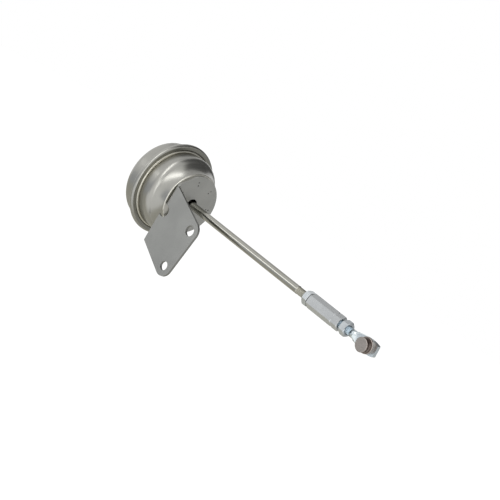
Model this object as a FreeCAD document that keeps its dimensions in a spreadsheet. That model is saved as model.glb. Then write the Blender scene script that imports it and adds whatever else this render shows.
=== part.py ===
import FreeCAD, Part
import math
import os
import Sketcher

# Wastegate actuator: a crimped steel diaphragm canister on a folded bracket, with a long
# sprung rod, a turnbuckle adjuster and a flattened eye that carries a riveted pivot pin.
# Millimetres. The rod runs along +X and the bracket's tab hangs down along -Z with its
# outer face towards -Y. The origin is on the rod's axis, where a hose stops on the port.

doc = FreeCAD.newDocument("wastegate_actuator")
sheet = doc.addObject("Spreadsheet::Sheet", "Sizes")

SIZES = [
    ("can_depth", 15.1, "rear face of the can to the rear of the crimped rim"),
    ("can_radius", 32.8, "outside of the can's barrel"),
    ("can_corner", 6.0, "outer radius of the drawn corner at the rear face"),
    ("can_wall", 1.0, "sheet of the can, the cover and the pressed parts inside"),
    ("rim_width", 3.9, "crimped rim, along the axis"),
    ("rim_reach", 4.4, "how far the crimped rim stands out from the barrel"),
    ("rim_corner", 1.7, "outer bend radius of the rim"),
    ("rim_root", 1.2, "hollow corner where the barrel turns into the rim"),
    ("lip_gap", 0.2, "hollow corner of the cover to the inner edge of the folded lip"),
    ("lip_edge", 0.35, "rounded edge of the folded lip"),
    ("flange_root", 1.2, "hollow corner where the cover's wall turns into its flange"),
    ("cover_height", 22.0, "front of the rim to the flat end of the cover"),
    ("cover_step", 1.0, "how far the cover's wall stands inside the barrel's radius"),
    ("cover_wall_length", 8.0, "front of the rim to the start of the shoulder"),
    ("shoulder_radius", 5.0, "convex shoulder of the cover"),
    ("neck_curve", 22.6, "hollow curve between the shoulder and the flat end"),
    ("neck_depth", 7.6, "cover's wall to the edge of its flat end"),
    ("end_corner", 0.8, "small bend round the flat end"),
    ("plate_thickness", 2.0, "sheet of the bracket"),
    ("plate_inset", 1.2, "edge of the cover's flat end to the bracket disc's edge"),
    ("flank_y", 10.1, "where the disc's outline turns into a straight flank"),
    ("flank_top", 12.2, "height of the flank where the bend starts"),
    ("bend_radius", 1.5, "inside of the bracket's bend"),
    ("tab_stand", 0.2, "bracket disc's edge to the outer face of the tab"),
    ("tab_top", 9.1, "top of the tab where the bend ends"),
    ("tab_back", 1.2, "how far the tab's rear edge stands behind the disc's face"),
    ("tab_corner_z", 37.7, "depth of the tab's sharp rear corner"),
    ("notch_radius", 4.6, "relief notch below the bend"),
    ("notch_x", 1.6, "centre of the notch in front of the disc's face"),
    ("notch_z", 11.4, "centre of the notch below the axis"),
    ("upper_hole_x", 33.6, "upper bolt hole in front of the disc's face"),
    ("upper_hole_z", 11.0, "upper bolt hole below the axis"),
    ("upper_hole_radius", 4.0, "upper bolt hole"),
    ("lower_hole_x", 29.4, "lower bolt hole in front of the disc's face"),
    ("lower_hole_z", 42.7, "lower bolt hole below the axis"),
    ("lower_hole_radius", 3.4, "lower bolt hole"),
    ("tab_edge", 7.7, "centre of a bolt hole to the tab's rounded edge"),
    ("weld_inset", 6.0, "bracket disc's edge to the middle of the weld dimples"),
    ("weld_pitch", 2.5, "distance between the two dimples of a pair"),
    ("weld_turn", 3.3, "turn of the ring of dimples about the axis, in degrees"),
    ("weld_radius", 0.5, "weld dimple"),
    ("weld_depth", 0.4, "weld dimple"),
    ("rod_radius", 3.0, "bare rod"),
    ("rod_hole_gap", 1.7, "rod to the hole in the bracket disc"),
    ("hole_step", 0.3, "bracket's hole to the cover's hole behind it"),
    ("rod_bare_length", 126.0, "bracket disc to the start of the rod's thread"),
    ("thread_radius", 2.8, "rolled thread, as a plain cylinder"),
    ("thread_gap", 0.06, "thread to the bore that runs on it"),
    ("thread_chamfer", 0.9, "chamfer at the end of a thread"),
    ("bore_sink", 0.6, "countersink at both ends of a nut's bore"),
    ("thread_show", 8.9, "thread in sight behind the rear nut"),
    ("rod_in_sleeve", 11.4, "rod thread inside the sleeve"),
    ("shank_in_sleeve", 17.0, "shank thread inside the sleeve"),
    ("spigot_radius", 2.3, "turned-down rear end of the rod"),
    ("spigot_gap", 0.2, "spigot to the diaphragm's hole"),
    ("spigot_fit", 0.05, "spigot to the holes of the piston, plate and washer"),
    ("rivet_radius", 4.2, "peened head at the rear of the rod"),
    ("rivet_height", 1.2, "peened head at the rear of the rod"),
    ("hex_flats", 9.8, "nuts and sleeve across flats"),
    ("cone_land", 0.2, "flats to the flat face inside a nut's turned cone"),
    ("nut_thickness", 4.9, "jam nut"),
    ("sleeve_length", 31.1, "adjuster sleeve"),
    ("mark_offset", 6.1, "left-hand thread mark to the sleeve's front end"),
    ("mark_width", 1.6, "left-hand thread mark, at the corners"),
    ("mark_depth", 0.7, "left-hand thread mark, cut into the corners only"),
    ("adjust_gap", 2.1, "sleeve to the front nut"),
    ("rear_nut_roll", -19.0, "turn of the rear nut about the rod"),
    ("sleeve_roll", -7.0, "turn of the sleeve about the rod"),
    ("front_nut_roll", -9.0, "turn of the front nut about the rod"),
    ("eye_roll", 7.0, "turn of the eye and its pin about the rod"),
    ("shank_show", 3.1, "thread in sight in front of the front nut"),
    ("neck_length", 3.0, "round neck of the forging"),
    ("neck_radius", 3.0, "round neck"),
    ("blend_length", 2.2, "neck to the flattened eye"),
    ("eye_reach", 12.5, "front end of the round neck to the pin"),
    ("eye_thickness", 3.0, "flattened eye"),
    ("eye_half_width", 4.4, "half the width where the eye's rounded sides start"),
    ("forged_half_width", 3.6, "half the width where the neck has become flat"),
    ("eye_root_half", 3.2, "half the width of the flat inside the neck's end"),
    ("side_start", 5.8, "pin back to where the rounded sides start"),
    ("tip_reach", 8.0, "pin to the squared tip"),
    ("tip_half_width", 4.1, "half the width of the squared tip"),
    ("tip_corner", 1.0, "rounded corners of the squared tip"),
    ("eye_side_radius", 28.0, "gently rounded sides of the eye"),
    ("pin_radius", 5.0, "pivot pin"),
    ("pin_chamfer", 0.35, "edge of the pin's face"),
    ("collar_radius", 5.7, "collar of the pin"),
    ("collar_height", 1.5, "collar of the pin"),
    ("pin_barrel", 2.9, "stretch of the pin that turns in a lever"),
    ("clip_groove", 0.8, "width of the groove for a retaining clip"),
    ("clip_groove_radius", 4.1, "bottom of the groove"),
    ("pin_end", 1.1, "groove to the pin's face"),
    ("stub_radius", 3.0, "riveted stub of the pin through the eye"),
    ("stub_gap", 0.05, "stub to the eye's hole"),
    ("stub_head_radius", 4.3, "peened head behind the eye"),
    ("stub_head_height", 1.2, "peened head behind the eye"),
    ("roll_width", 5.9, "the diaphragm's roll, outside to outside"),
    ("piston_corner", 3.0, "outer corner of the piston"),
    ("piston_length", 11.6, "piston, head to the end of its skirt"),
    ("rubber", 0.6, "diaphragm"),
    ("rubber_gap", 0.3, "diaphragm to the piston's skirt"),
    ("roll_front", 18.0, "rear face of the can to the middle of the diaphragm's roll"),
    ("bead_width", 2.0, "clamped bead, inner to outer edge"),
    ("rim_gap", 0.4, "parts inside the rim to its outer wall"),
    ("retainer_inset", 5.0, "piston's skirt to the edge of the retainer plate"),
    ("washer_radius", 7.0, "washer between the rod and the piston"),
    ("washer_thickness", 1.5, "washer between the rod and the piston"),
    ("back_room", 0.9, "can's rear wall to the rod's peened head"),
    ("spring_inset", 4.4, "piston's skirt to the middle of the spring's wire"),
    ("wire_radius", 1.5, "spring wire"),
    ("spring_turns", 5.0, "turns of the spring"),
    ("seat_gap", 0.3, "spring to the seat's lip"),
    ("seat_lip", 4.0, "height of the seat's lip"),
    ("seat_edge", 0.6, "seat's outer edge inside the cover's flat end"),
    ("port_flange_radius", 6.0, "stop flange of the port"),
    ("port_flange", 1.2, "thickness of the stop flange"),
    ("port_radius", 2.9, "port"),
    ("port_bore", 1.5, "port"),
    ("tip_wall", 0.95, "wall round the port's mouth"),
    ("port_plain", 8.0, "stop flange to the first barb"),
    ("barb_radius", 3.5, "barbs of the port"),
    ("barb_length", 3.2, "one barb"),
    ("barb_land", 0.5, "round land on the crest of a barb"),
    ("port_spigot", 2.6, "port's brazed spigot through the can"),
    ("braze_gap", 0.05, "spigot to the can's hole"),
]

for row, (alias, value, meaning) in enumerate(SIZES, start=1):
    sheet.set("A%d" % row, alias)
    sheet.set("B%d" % row, str(value))
    sheet.set("C%d" % row, meaning)
    sheet.setAlias("B%d" % row, alias)
doc.recompute()


class Size:
    """A size that knows its value and the sheet expression that gives it."""

    def __init__(self, value, text):
        self.value = float(value)
        self.text = text

    def _with(self, other, sign, flipped=False):
        other = other if isinstance(other, Size) else Size(other, repr(float(other)))
        first, second = (other, self) if flipped else (self, other)
        results = {
            "+": first.value + second.value,
            "-": first.value - second.value,
            "*": first.value * second.value,
            "/": first.value / second.value if second.value else 0.0,
        }
        return Size(results[sign], "(%s %s %s)" % (first.text, sign, second.text))

    def __add__(self, other):
        return self._with(other, "+")

    def __radd__(self, other):
        return self._with(other, "+", True)

    def __sub__(self, other):
        return self._with(other, "-")

    def __rsub__(self, other):
        return self._with(other, "-", True)

    def __mul__(self, other):
        return self._with(other, "*")

    def __rmul__(self, other):
        return self._with(other, "*", True)

    def __truediv__(self, other):
        return self._with(other, "/")

    def __neg__(self):
        return self._with(-1.0, "*")


def root(size):
    """Square root of a size."""
    return Size(math.sqrt(size.value), "sqrt(%s)" % size.text)


def turned_by(length, degrees):
    """Across and up of a length that is turned by an angle."""
    angle = math.radians(degrees.value)
    words = "(%s * 1 deg)" % degrees.text
    across = Size(math.cos(angle), "cos" + words)
    up = Size(math.sin(angle), "sin" + words)
    return length * across, length * up


class Sizes:
    """The sheet's cells by name."""

    def __getattr__(self, alias):
        return Size(getattr(sheet, alias), "Sizes." + alias)


s = Sizes()
ZERO = Size(0.0, "0")

# Shares that keep their meaning when a size changes
DIAGONAL = math.sqrt(0.5)
HEX_SLOPE = math.cos(math.pi / 6)
CONE_SLOPE = math.tan(math.pi / 6)
DOME_SHARE = 0.65
END_BEND_SHARE = 0.9
WEB_SHARE = 0.6
WELD_PAIRS = 7
CUT_ROOM = 0.7
NEAR = 0.01

# Places along the rod's axis, each from the one before it
can_rear = s.port_flange
rim_rear = can_rear + s.can_depth
rim_front = rim_rear + s.rim_width
cover_end = rim_front + s.cover_height
plate_front = cover_end + s.plate_thickness
thread_start = plate_front + s.rod_bare_length
rear_nut_x = thread_start + s.thread_show
sleeve_x = rear_nut_x + s.nut_thickness
sleeve_end = sleeve_x + s.sleeve_length
front_nut_x = sleeve_end + s.adjust_gap
neck_x = front_nut_x + s.nut_thickness + s.shank_show
eye_x = neck_x + s.neck_length + s.eye_reach

# Radii that follow the can's barrel
rim_radius = s.can_radius + s.rim_reach
cover_radius = s.can_radius - s.cover_step
lip_radius = cover_radius + s.flange_root + s.lip_gap
end_radius = cover_radius - s.neck_depth
plate_radius = end_radius - s.plate_inset
tab_offset = plate_radius + s.tab_stand
weld_ring = plate_radius - s.weld_inset
wall_room = cover_radius - s.can_wall - s.rim_gap
head_corner = wall_room - s.roll_width
piston_radius = head_corner - s.rubber_gap
retainer_radius = piston_radius - s.retainer_inset
spring_radius = piston_radius - s.spring_inset

# Places inside the canister
flange_face = rim_rear + s.can_wall
lip_face = rim_front - s.can_wall
cover_flange = lip_face - s.can_wall
rivet_rear = can_rear + s.can_wall + s.back_room
retainer_rear = rivet_rear + s.rivet_height
rubber_rear = retainer_rear + s.can_wall
piston_rear = rubber_rear + s.rubber
piston_face = piston_rear + s.can_wall
rod_shoulder = piston_face + s.washer_thickness
cover_inside = cover_end - s.can_wall
seat_rear = cover_inside - s.can_wall
ring_outside = rim_radius - s.can_wall - s.rim_gap
bead_inner = ring_outside - s.bead_width


def new_body(name):
    """A part's body, whose label names its file."""
    body = doc.addObject("PartDesign::Body", name)
    body.Label = name
    return body


def origin_item(body, role):
    """One of the body's own origin planes or axes."""
    return [item for item in body.Origin.OriginFeatures if item.Role == role][0]


def new_sketch(body, name, plane="XY_Plane", lift=ZERO):
    """A sketch on one of the body's origin planes, lifted along the plane's normal."""
    sketch = body.newObject("Sketcher::SketchObject", name)
    sketch.AttachmentSupport = (origin_item(body, plane), "")
    sketch.MapMode = "FlatFace"
    sketch.AttachmentOffset = FreeCAD.Placement(
        FreeCAD.Vector(0, 0, lift.value), FreeCAD.Rotation()
    )
    if lift is not ZERO:
        sketch.setExpression("AttachmentOffset.Base.z", lift.text)
    return sketch


def bind(sketch, constraint, size):
    """Adds a dimension to a sketch and ties it to the sheet."""
    index = sketch.addConstraint(constraint)
    sketch.setExpression("Constraints[%d]" % index, size.text)


def pin_point(sketch, geometry, end, across, up):
    """Ties a sketch point's place to the sheet."""
    bind(sketch, Sketcher.Constraint("DistanceX", -1, 1, geometry, end, across.value), across)
    bind(sketch, Sketcher.Constraint("DistanceY", -1, 1, geometry, end, up.value), up)


def arc_between(start, end, radius, turn):
    """The short arc from start to end; turn is 1 where it runs anticlockwise, else -1."""
    chord = end - start
    rise = math.sqrt(max(radius**2 - (chord.Length / 2) ** 2, 0.0))
    side = FreeCAD.Vector(-chord.y, chord.x, 0).normalize()
    centre = (start + end) * 0.5 + side * (rise * turn)
    first = math.atan2(start.y - centre.y, start.x - centre.x)
    last = math.atan2(end.y - centre.y, end.x - centre.x)
    circle = Part.Circle(centre, FreeCAD.Vector(0, 0, 1), radius)
    if turn < 0:
        first, last = last, first
    return Part.ArcOfCircle(circle, first, last)


def outline(sketch, corners):
    """Draws a closed outline. A corner is (across, up), and where an arc runs on from it
    to the next corner, (across, up, radius, turn)."""
    starts = []
    ends = []
    count = len(corners)
    for index, corner in enumerate(corners):
        after = corners[(index + 1) % count]
        start = FreeCAD.Vector(corner[0].value, corner[1].value, 0)
        end = FreeCAD.Vector(after[0].value, after[1].value, 0)
        if len(corner) == 2:
            starts.append((sketch.addGeometry(Part.LineSegment(start, end)), 1))
            ends.append((starts[-1][0], 2))
            continue
        turn = corner[3]
        arc = sketch.addGeometry(arc_between(start, end, corner[2].value, turn))
        starts.append((arc, 1 if turn > 0 else 2))
        ends.append((arc, 2 if turn > 0 else 1))
    for index, corner in enumerate(corners):
        joint = starts[(index + 1) % count]
        sketch.addConstraint(Sketcher.Constraint("Coincident", *ends[index], *joint))
    for index, corner in enumerate(corners):
        pin_point(sketch, *starts[index], corner[0], corner[1])
        if len(corner) == 4:
            radius = Sketcher.Constraint("Radius", starts[index][0], corner[2].value)
            bind(sketch, radius, corner[2])


def circle_at(sketch, across, up, radius):
    """Draws a circle with its centre and radius tied to the sheet."""
    centre = FreeCAD.Vector(across.value, up.value, 0)
    circle = sketch.addGeometry(Part.Circle(centre, FreeCAD.Vector(0, 0, 1), radius.value))
    pin_point(sketch, circle, 3, across, up)
    bind(sketch, Sketcher.Constraint("Radius", circle, radius.value), radius)


def sized(body, kind, name, sketch, length=None, **settings):
    """A sketch-based feature, with its length tied to the sheet."""
    feature = body.newObject("PartDesign::" + kind, name)
    feature.Profile = sketch
    if length is not None:
        feature.Length = length.value
        feature.setExpression("Length", length.text)
    for key, value in settings.items():
        setattr(feature, key, value)
    sketch.Visibility = False
    body.Tip = feature
    doc.recompute()
    return feature


def turned(body, name, corners, about="H_Axis", kind="Revolution"):
    """Turns a half section once round the X axis, or round the Y axis."""
    sketch = new_sketch(body, name + "_section")
    outline(sketch, corners)
    return sized(body, kind, name, sketch, ReferenceAxis=(sketch, [about]), Angle=360.0)


def placed(body, along, roll=ZERO):
    """Puts a body on the rod's axis, turned about it."""
    turn = FreeCAD.Rotation(FreeCAD.Vector(1, 0, 0), roll.value)
    body.Placement = FreeCAD.Placement(FreeCAD.Vector(along.value, 0, 0), turn)
    body.setExpression("Placement.Base.x", along.text)


def make_rear_can():
    """Drawn can, whose flange is folded round everything in the rim."""
    body = new_body("rear_can")
    inner = s.can_radius - s.can_wall
    bend = s.rim_corner - s.can_wall
    inside = rim_radius - s.can_wall
    root_x = rim_rear - s.rim_root
    root_r = s.can_radius + s.rim_root
    inner_root = s.rim_root + s.can_wall
    corner_r = s.can_radius - s.can_corner
    inner_corner = s.can_corner - s.can_wall
    hole = s.port_spigot + s.braze_gap
    turned(body, "can", [
        (can_rear, hole),
        (can_rear, corner_r, s.can_corner, -1),
        (can_rear + s.can_corner, s.can_radius),
        (root_x, s.can_radius, s.rim_root, 1),
        (rim_rear, root_r),
        (rim_rear, rim_radius - s.rim_corner, s.rim_corner, -1),
        (rim_rear + s.rim_corner, rim_radius),
        (rim_front - s.rim_corner, rim_radius, s.rim_corner, -1),
        (rim_front, rim_radius - s.rim_corner),
        (rim_front, lip_radius + s.lip_edge, s.lip_edge, -1),
        (rim_front - s.lip_edge, lip_radius),
        (lip_face, lip_radius),
        (lip_face, inside - bend, bend, 1),
        (lip_face - bend, inside),
        (flange_face + bend, inside, bend, 1),
        (flange_face, inside - bend),
        (flange_face, root_r, inner_root, -1),
        (root_x, inner),
        (can_rear + s.can_corner, inner, inner_corner, 1),
        (can_rear + s.can_wall, corner_r),
        (can_rear + s.can_wall, hole),
    ])
    return body


def make_front_cover():
    """Drawn cover: flange, wall, round shoulder, hollow neck and flat end."""
    body = new_body("front_cover")
    wall_end = rim_front + s.cover_wall_length
    centre_r = cover_radius - s.shoulder_radius
    inner_shoulder = s.shoulder_radius - s.can_wall
    reach = s.shoulder_radius * DIAGONAL
    inner_reach = inner_shoulder * DIAGONAL
    inner = cover_radius - s.can_wall
    inner_root = s.flange_root + s.can_wall
    end_step = s.end_corner * END_BEND_SHARE
    hole = s.rod_radius + s.rod_hole_gap + s.hole_step
    turned(body, "cover", [
        (cover_flange + inner_root, inner, inner_root, 1),
        (cover_flange, inner + inner_root),
        (cover_flange, ring_outside),
        (lip_face, ring_outside),
        (lip_face, cover_radius + s.flange_root, s.flange_root, -1),
        (lip_face + s.flange_root, cover_radius),
        (wall_end, cover_radius, s.shoulder_radius, -1),
        (wall_end + reach, centre_r + reach, s.neck_curve, 1),
        (cover_end - end_step, end_radius, s.end_corner, -1),
        (cover_end, end_radius - end_step),
        (cover_end, hole),
        (cover_inside, hole),
        (cover_inside, end_radius - s.can_wall, s.neck_curve + s.can_wall, -1),
        (wall_end + inner_reach, centre_r + inner_reach, inner_shoulder, 1),
        (wall_end, inner),
    ])
    return body


def make_pressure_port():
    """Barbed hose port, brazed through the can's rear wall."""
    body = new_body("pressure_port")
    barb_two = s.port_plain + s.barb_length
    tip = barb_two + s.barb_length
    turned(body, "port", [
        (can_rear + s.can_wall, s.port_bore),
        (-tip, s.port_bore),
        (-tip, s.port_bore + s.tip_wall),
        (-barb_two - s.barb_land, s.barb_radius),
        (-barb_two, s.barb_radius),
        (-barb_two, s.port_radius),
        (-s.port_plain - s.barb_land, s.barb_radius),
        (-s.port_plain, s.barb_radius),
        (-s.port_plain, s.port_radius),
        (ZERO, s.port_radius),
        (ZERO, s.port_flange_radius),
        (can_rear, s.port_flange_radius),
        (can_rear, s.port_spigot),
        (can_rear + s.can_wall, s.port_spigot),
    ])
    return body


def make_diaphragm():
    """Rubber diaphragm: bead, rolled convolution and flat head."""
    body = new_body("diaphragm")
    turn_in = s.piston_corner - s.rubber_gap
    turn_out = turn_in + s.rubber
    turn_x = piston_rear + turn_in
    head_r = head_corner - turn_in
    leg_inner = head_corner + s.rubber
    leg_outer = wall_room - s.rubber
    roll_x = can_rear + s.roll_front
    roll_in = (leg_outer - leg_inner) / 2.0
    roll_out = roll_in + s.rubber
    roll_middle = leg_inner + roll_in
    web = (flange_face + cover_flange) / 2.0 - s.rubber * WEB_SHARE
    knee = cover_flange - web - s.rubber
    knee_r = wall_room + knee
    hole = s.spigot_radius + s.spigot_gap
    turned(body, "rubber", [
        (rubber_rear, hole),
        (rubber_rear, head_r, turn_out, -1),
        (turn_x, leg_inner),
        (roll_x, leg_inner, roll_in, 1),
        (roll_x + roll_in, roll_middle, roll_in, 1),
        (roll_x, leg_outer),
        (cover_flange, leg_outer, knee + s.rubber, -1),
        (web, knee_r),
        (web, bead_inner),
        (flange_face, bead_inner + s.rim_gap),
        (flange_face, ring_outside),
        (cover_flange, ring_outside),
        (cover_flange, bead_inner),
        (web + s.rubber, bead_inner),
        (web + s.rubber, knee_r, knee, 1),
        (cover_flange, wall_room),
        (roll_x, wall_room, roll_out, -1),
        (roll_x + roll_out, roll_middle, roll_out, -1),
        (roll_x, head_corner),
        (turn_x, head_corner, turn_in, 1),
        (piston_rear, head_r),
        (piston_rear, hole),
    ])
    return body


def make_piston_cup():
    """Pressed piston that the diaphragm rolls on."""
    body = new_body("piston_cup")
    hole = s.spigot_radius + s.spigot_fit
    inner = piston_radius - s.can_wall
    inner_corner = s.piston_corner - s.can_wall
    corner_x = piston_rear + s.piston_corner
    corner_r = piston_radius - s.piston_corner
    turned(body, "piston", [
        (piston_rear, hole),
        (piston_rear, corner_r, s.piston_corner, -1),
        (corner_x, piston_radius),
        (piston_rear + s.piston_length, piston_radius),
        (piston_rear + s.piston_length, inner),
        (corner_x, inner, inner_corner, 1),
        (piston_face, corner_r),
        (piston_face, hole),
    ])
    return body


def make_retainer_plate():
    """Dished plate that clamps the diaphragm to the piston."""
    body = new_body("retainer_plate")
    hole = s.spigot_radius + s.spigot_fit
    rim = s.can_wall / 2.0
    turned(body, "plate", [
        (retainer_rear, hole),
        (retainer_rear, retainer_radius - rim, rim, -1),
        (retainer_rear + rim, retainer_radius, rim, -1),
        (rubber_rear, retainer_radius - rim),
        (rubber_rear, hole),
    ])
    return body


def make_rod_washer():
    """Plain washer between the rod's shoulder and the piston."""
    body = new_body("rod_washer")
    hole = s.spigot_radius + s.spigot_fit
    turned(body, "washer", [
        (piston_face, hole),
        (piston_face, s.washer_radius),
        (rod_shoulder, s.washer_radius),
        (rod_shoulder, hole),
    ])
    return body


def make_rod():
    """Rod with its peened rear end, shoulder and threaded front end."""
    body = new_body("rod")
    rod_end = sleeve_x + s.rod_in_sleeve
    dome = s.rivet_height * DOME_SHARE
    dome_radius = (s.rivet_radius * s.rivet_radius + dome * dome) / (2.0 * dome)
    bevel = s.rod_radius - s.thread_radius
    turned(body, "shaft", [
        (rivet_rear, ZERO, dome_radius, -1),
        (rivet_rear + dome, s.rivet_radius),
        (retainer_rear, s.rivet_radius),
        (retainer_rear, s.spigot_radius),
        (rod_shoulder, s.spigot_radius),
        (rod_shoulder, s.rod_radius),
        (thread_start - bevel, s.rod_radius),
        (thread_start, s.thread_radius),
        (rod_end - s.thread_chamfer, s.thread_radius),
        (rod_end, s.thread_radius - s.thread_chamfer),
        (rod_end, ZERO),
    ])
    return body


def make_return_spring():
    """Compression spring between the piston and its seat in the cover."""
    body = new_body("return_spring")
    first = piston_face + s.wire_radius
    height = seat_rear - piston_face - s.wire_radius * 2.0
    wire = new_sketch(body, "wire_section")
    circle_at(wire, ZERO, spring_radius, s.wire_radius)
    coil = body.newObject("PartDesign::AdditiveHelix", "coil")
    coil.Profile = wire
    coil.ReferenceAxis = (wire, ["H_Axis"])
    coil.Mode = "height-turns-angle"
    coil.Height = height.value
    coil.setExpression("Height", height.text)
    coil.Turns = s.spring_turns.value
    coil.setExpression("Turns", s.spring_turns.text)
    body.Tip = coil
    placed(body, first)
    doc.recompute()
    return body


def make_spring_seat():
    """Pressed seat that centres the spring at the cover's flat end."""
    body = new_body("spring_seat")
    lip = spring_radius - s.wire_radius - s.seat_gap
    outside = end_radius - s.can_wall - s.seat_edge
    bend = s.can_wall / 2.0
    turned(body, "seat", [
        (seat_rear - s.seat_lip, lip - s.can_wall),
        (seat_rear - s.seat_lip, lip),
        (seat_rear, lip),
        (seat_rear, outside),
        (cover_inside, outside),
        (cover_inside, lip - s.can_wall + bend, bend, 1),
        (cover_inside - bend, lip - s.can_wall),
    ])
    return body


def tab_outline(sketch):
    """Outline of the tab: round about both bolt holes, straight and tangent between."""
    upper = FreeCAD.Vector(s.upper_hole_x.value, -s.upper_hole_z.value, 0)
    lower = FreeCAD.Vector(s.lower_hole_x.value, -s.lower_hole_z.value, 0)
    edge = s.tab_edge.value
    front_x = s.bend_radius
    top = FreeCAD.Vector(front_x.value, s.tab_top.value, 0)
    corner = FreeCAD.Vector(-s.tab_back.value, -s.tab_corner_z.value, 0)
    step = FreeCAD.Vector(-s.tab_back.value, -s.notch_z.value, 0)
    inner = FreeCAD.Vector(front_x.value, -s.notch_z.value, 0)

    def touch(point, centre, side):
        """Where a line from a point touches the round about a hole."""
        away = centre - point
        spread = side * math.acos(edge / away.Length)
        angle = math.atan2(-away.y, -away.x) + spread
        return centre + FreeCAD.Vector(math.cos(angle), math.sin(angle), 0) * edge

    along = lower - upper
    out = FreeCAD.Vector(-along.y, along.x, 0).normalize() * edge
    top_touch = touch(top, upper, -1)
    low_touch = touch(corner, lower, 1)
    places = [top, top_touch, upper + out, lower + out, low_touch, corner, step, inner]

    def round_part(centre, first, last):
        """Clockwise arc about a hole, from first to last."""
        circle = Part.Circle(centre, FreeCAD.Vector(0, 0, 1), edge)
        angles = [math.atan2(p.y - centre.y, p.x - centre.x) for p in (last, first)]
        return Part.ArcOfCircle(circle, *angles)

    sides = [
        Part.LineSegment(places[0], places[1]),
        round_part(upper, places[1], places[2]),
        Part.LineSegment(places[2], places[3]),
        round_part(lower, places[3], places[4]),
        Part.LineSegment(places[4], places[5]),
        Part.LineSegment(places[5], places[6]),
        Part.LineSegment(places[6], places[7]),
        Part.LineSegment(places[7], places[0]),
    ]
    ids = [sketch.addGeometry(side) for side in sides]
    for line, line_end, arc, arc_end in ((0, 2, 1, 2), (2, 1, 1, 1), (2, 2, 3, 2), (4, 1, 3, 1)):
        touching = Sketcher.Constraint("Tangent", ids[line], line_end, ids[arc], arc_end)
        sketch.addConstraint(touching)
    for line, after in ((4, 5), (5, 6), (6, 7), (7, 0)):
        sketch.addConstraint(Sketcher.Constraint("Coincident", ids[line], 2, ids[after], 1))
    holes = ((1, s.upper_hole_x, s.upper_hole_z), (3, s.lower_hole_x, s.lower_hole_z))
    for arc, across, down in holes:
        pin_point(sketch, ids[arc], 3, across, -down)
        bind(sketch, Sketcher.Constraint("Radius", ids[arc], edge), s.tab_edge)
    pin_point(sketch, ids[0], 1, front_x, s.tab_top)
    pin_point(sketch, ids[5], 1, -s.tab_back, -s.tab_corner_z)
    pin_point(sketch, ids[6], 1, -s.tab_back, -s.notch_z)
    pin_point(sketch, ids[7], 1, front_x, -s.notch_z)


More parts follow.
